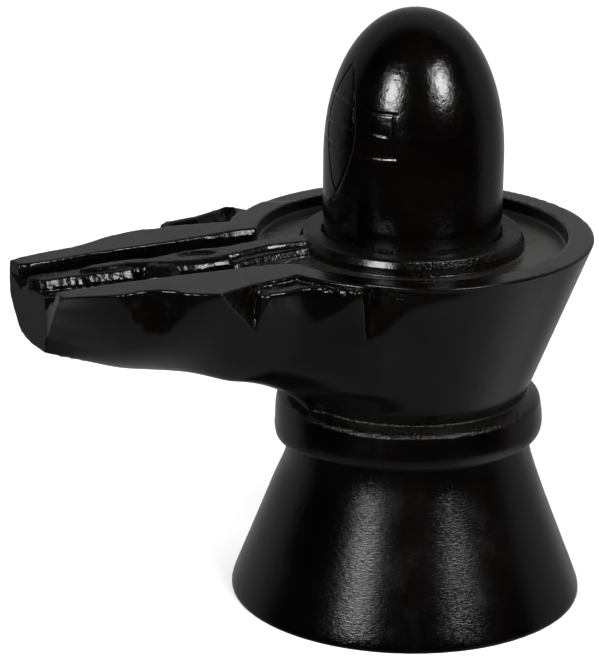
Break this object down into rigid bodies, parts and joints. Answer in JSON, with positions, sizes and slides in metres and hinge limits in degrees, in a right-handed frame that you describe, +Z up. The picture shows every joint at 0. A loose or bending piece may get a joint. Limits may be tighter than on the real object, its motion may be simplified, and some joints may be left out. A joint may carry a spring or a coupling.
{
  "type": "shiva linga on yoni pedestal",
  "caption": "Carved black stone linga standing in the disc of a round basin with a long spout, on a collared bell-shaped foot.",
  "frame": {"origin": "centre of the foot's flat underside", "axes": "+Z up through the lingam, +X out along the spout, +Y to the spout's left seen from above with +X ahead"},
  "size_m": [0.2197, 0.138, 0.23],
  "materials": {
    "base_stone": "hand-rubbed black stone, satin gloss with fine sanding lines",
    "lingam_stone": "polished black stone, satin gloss"
  },
  "bodies": {
    "root": {"yoni_base": "base_stone", "lingam": "lingam_stone"}
  },
  "joints": []
}
